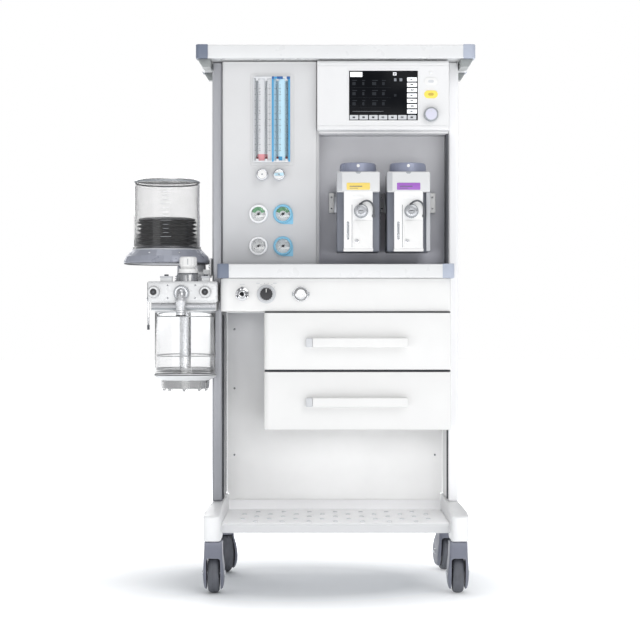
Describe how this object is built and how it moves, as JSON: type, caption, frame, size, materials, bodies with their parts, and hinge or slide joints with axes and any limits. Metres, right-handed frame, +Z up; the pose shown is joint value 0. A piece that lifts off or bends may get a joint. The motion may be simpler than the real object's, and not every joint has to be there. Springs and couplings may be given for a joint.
{
  "type": "anesthesia machine",
  "caption": "Anesthesia machine on a caster trolley: flowmeter panel, monitor, two vaporizers, drawers, bellows, absorber canister and shelves.",
  "frame": {"origin": "centre of the bounding box on the floor, where the caster wheels stand", "axes": "+Z up, -Y to the front where the drawers and the screen face, +X to the user's right seen from the front"},
  "size_m": [0.9064, 0.612, 1.387],
  "materials": {
    "white_paint": "satin white powder coat",
    "grey_column": "satin grey anodised",
    "white_column": "satin white coated",
    "leg_casting": "satin white coated casting",
    "panel_grey": "fine matte texture",
    "bay_grey": "satin grey coat",
    "back_grey": "satin grey coat",
    "cover_grey": "satin grey coat",
    "white_plastic": "fine satin",
    "caster_blue_grey": "satin blue grey",
    "tyre_grey": "dark grey polyurethane",
    "dark_plastic": "satin black",
    "screen_glass": "glossy black",
    "tube_card": "gloss",
    "float_red": "gloss",
    "needle_black": "black",
    "knob_white": "gloss",
    "knob_blue": "gloss",
    "key_yellow": "satin",
    "encoder_grey": "satin",
    "outlet_chrome": "polished",
    "button_chrome": "polished",
    "vaporizer_white": "satin coat",
    "dial_metal": "dark brushed anodised",
    "filler_grey": "satin",
    "block_white": "satin coat",
    "bellows_base_grey": "satin",
    "bellows_rubber": "matte silicone",
    "clear_plastic": "clear",
    "lever_steel": "brushed"
  },
  "bodies": {
    "trolley": {"left_post": "grey_column", "right_post": "white_column", "left_leg": "leg_casting", "right_leg": "leg_casting", "base_tray": "white_paint", "lower_back_panel": "back_grey", "upper_housing": "bay_grey", "rear_cover": "cover_grey", "flow_panel": "panel_grey", "monitor_fascia": "white_plastic", "display_screen": "screen_glass", "top_tray": "white_plastic", "worktop": "white_plastic", "control_panel": "white_paint", "drawer_cabinet": "white_paint", "flow_tube_block": "tube_card", "vaporizer_bar": "vaporizer_white", "gas_outlet": "outlet_chrome", "breathing_block": "block_white", "bag_port": "block_white", "bellows_base": "bellows_base_grey", "bellows": "bellows_rubber"},
    "drawer_upper": {"drawer_upper": "white_paint", "drawer_upper_handle": "white_plastic"},
    "drawer_lower": {"drawer_lower": "white_paint", "drawer_lower_handle": "white_plastic"},
    "caster_fork_front_left": {"caster_fork_front_left": "caster_blue_grey"},
    "caster_wheel_front_left": {"caster_wheel_front_left": "tyre_grey"},
    "brake_pedal_front_left": {"brake_pedal_front_left": "dark_plastic"},
    "caster_fork_front_right": {"caster_fork_front_right": "caster_blue_grey"},
    "caster_wheel_front_right": {"caster_wheel_front_right": "tyre_grey"},
    "brake_pedal_front_right": {"brake_pedal_front_right": "dark_plastic"},
    "caster_fork_rear_left": {"caster_fork_rear_left": "caster_blue_grey"},
    "caster_wheel_rear_left": {"caster_wheel_rear_left": "tyre_grey"},
    "caster_fork_rear_right": {"caster_fork_rear_right": "caster_blue_grey"},
    "caster_wheel_rear_right": {"caster_wheel_rear_right": "tyre_grey"},
    "flow_knob_oxygen": {"flow_knob_oxygen": "knob_white"},
    "flow_float_oxygen": {"flow_float_oxygen": "float_red"},
    "flow_knob_air": {"flow_knob_air": "knob_blue"},
    "flow_float_air": {"flow_float_air": "float_red"},
    "gauge_needle_pipeline_oxygen": {"gauge_needle_pipeline_oxygen": "needle_black"},
    "gauge_needle_pipeline_air": {"gauge_needle_pipeline_air": "needle_black"},
    "gauge_needle_cylinder_oxygen": {"gauge_needle_cylinder_oxygen": "needle_black"},
    "gauge_needle_cylinder_air": {"gauge_needle_cylinder_air": "needle_black"},
    "vaporizer_left": {"vaporizer_left": "vaporizer_white"},
    "vaporizer_dial_left": {"vaporizer_dial_left": "dial_metal"},
    "filler_cap_left": {"filler_cap_left": "filler_grey"},
    "vaporizer_right": {"vaporizer_right": "vaporizer_white"},
    "vaporizer_dial_right": {"vaporizer_dial_right": "dial_metal"},
    "filler_cap_right": {"filler_cap_right": "filler_grey"},
    "selector_knob": {"selector_knob": "dark_plastic"},
    "flush_button": {"flush_button": "button_chrome"},
    "encoder_knob": {"encoder_knob": "encoder_grey"},
    "alarm_key": {"alarm_key": "white_plastic"},
    "standby_key": {"standby_key": "key_yellow"},
    "apl_knob": {"apl_knob": "knob_white"},
    "bellows_dome": {"bellows_dome": "clear_plastic"},
    "bellows_disc": {"bellows_disc": "dark_plastic"},
    "absorber_canister": {"absorber_canister": "clear_plastic"},
    "canister_lever": {"canister_lever": "lever_steel"}
  },
  "joints": [
    {"name": "drawer_upper_slide", "type": "slide", "parent": "trolley", "child": "drawer_upper", "axis": [0, -1, 0], "range_m": [0, 0.33]},
    {"name": "drawer_lower_slide", "type": "slide", "parent": "trolley", "child": "drawer_lower", "axis": [0, -1, 0], "range_m": [0, 0.33]},
    {"name": "caster_swivel_front_left", "type": "hinge", "parent": "trolley", "child": "caster_fork_front_left", "pos_m": [-0.20825, -0.27197, 0.132], "axis": [0, 0, 1], "continuous": true},
    {"name": "caster_roll_front_left", "type": "hinge", "parent": "caster_fork_front_left", "child": "caster_wheel_front_left", "pos_m": [-0.20825, -0.24397, 0.05], "axis": [1, 0, 0], "continuous": true},
    {"name": "brake_press_front_left", "type": "hinge", "parent": "caster_fork_front_left", "child": "brake_pedal_front_left", "pos_m": [-0.20825, -0.23747, 0.1225], "axis": [-1, 0, 0], "range_deg": [0, 12]},
    {"name": "caster_swivel_front_right", "type": "hinge", "parent": "trolley", "child": "caster_fork_front_right", "pos_m": [0.40375, -0.27197, 0.132], "axis": [0, 0, 1], "continuous": true},
    {"name": "caster_roll_front_right", "type": "hinge", "parent": "caster_fork_front_right", "child": "caster_wheel_front_right", "pos_m": [0.40375, -0.24397, 0.05], "axis": [1, 0, 0], "continuous": true},
    {"name": "brake_press_front_right", "type": "hinge", "parent": "caster_fork_front_right", "child": "brake_pedal_front_right", "pos_m": [0.40375, -0.23747, 0.1225], "axis": [-1, 0, 0], "range_deg": [0, 12]},
    {"name": "caster_swivel_rear_left", "type": "hinge", "parent": "trolley", "child": "caster_fork_rear_left", "pos_m": [-0.20825, 0.22803, 0.132], "axis": [0, 0, 1], "continuous": true},
    {"name": "caster_roll_rear_left", "type": "hinge", "parent": "caster_fork_rear_left", "child": "caster_wheel_rear_left", "pos_m": [-0.20053, 0.20112, 0.05], "axis": [-0.9613, -0.2756, 0], "continuous": true},
    {"name": "caster_swivel_rear_right", "type": "hinge", "parent": "trolley", "child": "caster_fork_rear_right", "pos_m": [0.40375, 0.22803, 0.132], "axis": [0, 0, 1], "continuous": true},
    {"name": "caster_roll_rear_right", "type": "hinge", "parent": "caster_fork_rear_right", "child": "caster_wheel_rear_right", "pos_m": [0.39985, 0.25576, 0.05], "axis": [0.9903, 0.1392, 0], "continuous": true},
    {"name": "flow_knob_oxygen_turn", "type": "hinge", "parent": "trolley", "child": "flow_knob_oxygen", "pos_m": [-0.09025, -0.12197, 1.058], "axis": [0, -1, 0], "range_deg": [0, 720]},
    {"name": "flow_float_oxygen_rise", "type": "slide", "parent": "trolley", "child": "flow_float_oxygen", "axis": [0, 0, 1], "range_m": [0, 0.19]},
    {"name": "flow_knob_air_turn", "type": "hinge", "parent": "trolley", "child": "flow_knob_air", "pos_m": [-0.04675, -0.12197, 1.058], "axis": [0, -1, 0], "range_deg": [0, 720]},
    {"name": "flow_float_air_rise", "type": "slide", "parent": "trolley", "child": "flow_float_air", "axis": [0, 0, 1], "range_m": [0, 0.19]},
    {"name": "gauge_pipeline_oxygen_turn", "type": "hinge", "parent": "trolley", "child": "gauge_needle_pipeline_oxygen", "pos_m": [-0.10025, -0.12697, 0.9575], "axis": [0, 1, 0], "range_deg": [0, 270]},
    {"name": "gauge_pipeline_air_turn", "type": "hinge", "parent": "trolley", "child": "gauge_needle_pipeline_air", "pos_m": [-0.03725, -0.12697, 0.9575], "axis": [0, 1, 0], "range_deg": [0, 270]},
    {"name": "gauge_cylinder_oxygen_turn", "type": "hinge", "parent": "trolley", "child": "gauge_needle_cylinder_oxygen", "pos_m": [-0.10025, -0.12697, 0.875], "axis": [0, 1, 0], "range_deg": [0, 270]},
    {"name": "gauge_cylinder_air_turn", "type": "hinge", "parent": "trolley", "child": "gauge_needle_cylinder_air", "pos_m": [-0.03725, -0.12697, 0.875], "axis": [0, 1, 0], "range_deg": [0, 270]},
    {"name": "vaporizer_left_lift", "type": "slide", "parent": "trolley", "child": "vaporizer_left", "axis": [0, 0, 1], "range_m": [0, 0.045]},
    {"name": "vaporizer_dial_left_turn", "type": "hinge", "parent": "vaporizer_left", "child": "vaporizer_dial_left", "pos_m": [0.15475, -0.16197, 1.07], "axis": [0, 0, 1], "range_deg": [0, 300]},
    {"name": "filler_cap_left_turn", "type": "hinge", "parent": "vaporizer_left", "child": "filler_cap_left", "pos_m": [0.16175, -0.22197, 0.96], "axis": [0, -1, 0], "range_deg": [0, 360]},
    {"name": "vaporizer_right_lift", "type": "slide", "parent": "trolley", "child": "vaporizer_right", "axis": [0, 0, 1], "range_m": [0, 0.045]},
    {"name": "vaporizer_dial_right_turn", "type": "hinge", "parent": "vaporizer_right", "child": "vaporizer_dial_right", "pos_m": [0.28175, -0.16197, 1.07], "axis": [0, 0, 1], "range_deg": [0, 300]},
    {"name": "filler_cap_right_turn", "type": "hinge", "parent": "vaporizer_right", "child": "filler_cap_right", "pos_m": [0.28875, -0.22197, 0.96], "axis": [0, -1, 0], "range_deg": [0, 360]},
    {"name": "selector_turn", "type": "hinge", "parent": "trolley", "child": "selector_knob", "pos_m": [-0.07725, -0.22197, 0.7505], "axis": [0, 1, 0], "range_deg": [0, 90]},
    {"name": "flush_press", "type": "slide", "parent": "trolley", "child": "flush_button", "axis": [0, 1, 0], "range_m": [0, 0.005], "stiffness_N_per_m": 400},
    {"name": "encoder_turn", "type": "hinge", "parent": "trolley", "child": "encoder_knob", "pos_m": [0.34175, -0.15197, 1.21], "axis": [0, -1, 0], "continuous": true},
    {"name": "alarm_key_press", "type": "slide", "parent": "trolley", "child": "alarm_key", "axis": [0, 1, 0], "range_m": [0, 0.001], "stiffness_N_per_m": 300},
    {"name": "standby_key_press", "type": "slide", "parent": "trolley", "child": "standby_key", "axis": [0, 1, 0], "range_m": [0, 0.001], "stiffness_N_per_m": 300},
    {"name": "apl_turn", "type": "hinge", "parent": "trolley", "child": "apl_knob", "pos_m": [-0.27725, -0.17697, 0.83], "axis": [0, 0, -1], "range_deg": [0, 300]},
    {"name": "bellows_dome_lift", "type": "slide", "parent": "trolley", "child": "bellows_dome", "axis": [0, 0, 1], "range_m": [0, 0.18]},
    {"name": "bellows_stroke", "type": "slide", "parent": "trolley", "child": "bellows_disc", "axis": [0, 0, 1], "range_m": [-0.035, 0.085], "deforming": ["bellows"]},
    {"name": "canister_drop", "type": "slide", "parent": "trolley", "child": "absorber_canister", "axis": [0, 0, -1], "range_m": [0, 0.012]},
    {"name": "canister_lever_turn", "type": "hinge", "parent": "trolley", "child": "canister_lever", "pos_m": [-0.38175, -0.13797, 0.738], "axis": [-1, 0, 0], "range_deg": [0, 90]}
  ],
  "couplings": [
    {"joint": "flow_float_oxygen_rise", "follows": "flow_knob_oxygen_turn", "m_per_rad": 0.0151},
    {"joint": "flow_float_air_rise", "follows": "flow_knob_air_turn", "m_per_rad": 0.0151},
    {"joint": "canister_lever_turn", "follows": "canister_drop", "rad_per_m": 130}
  ]
}
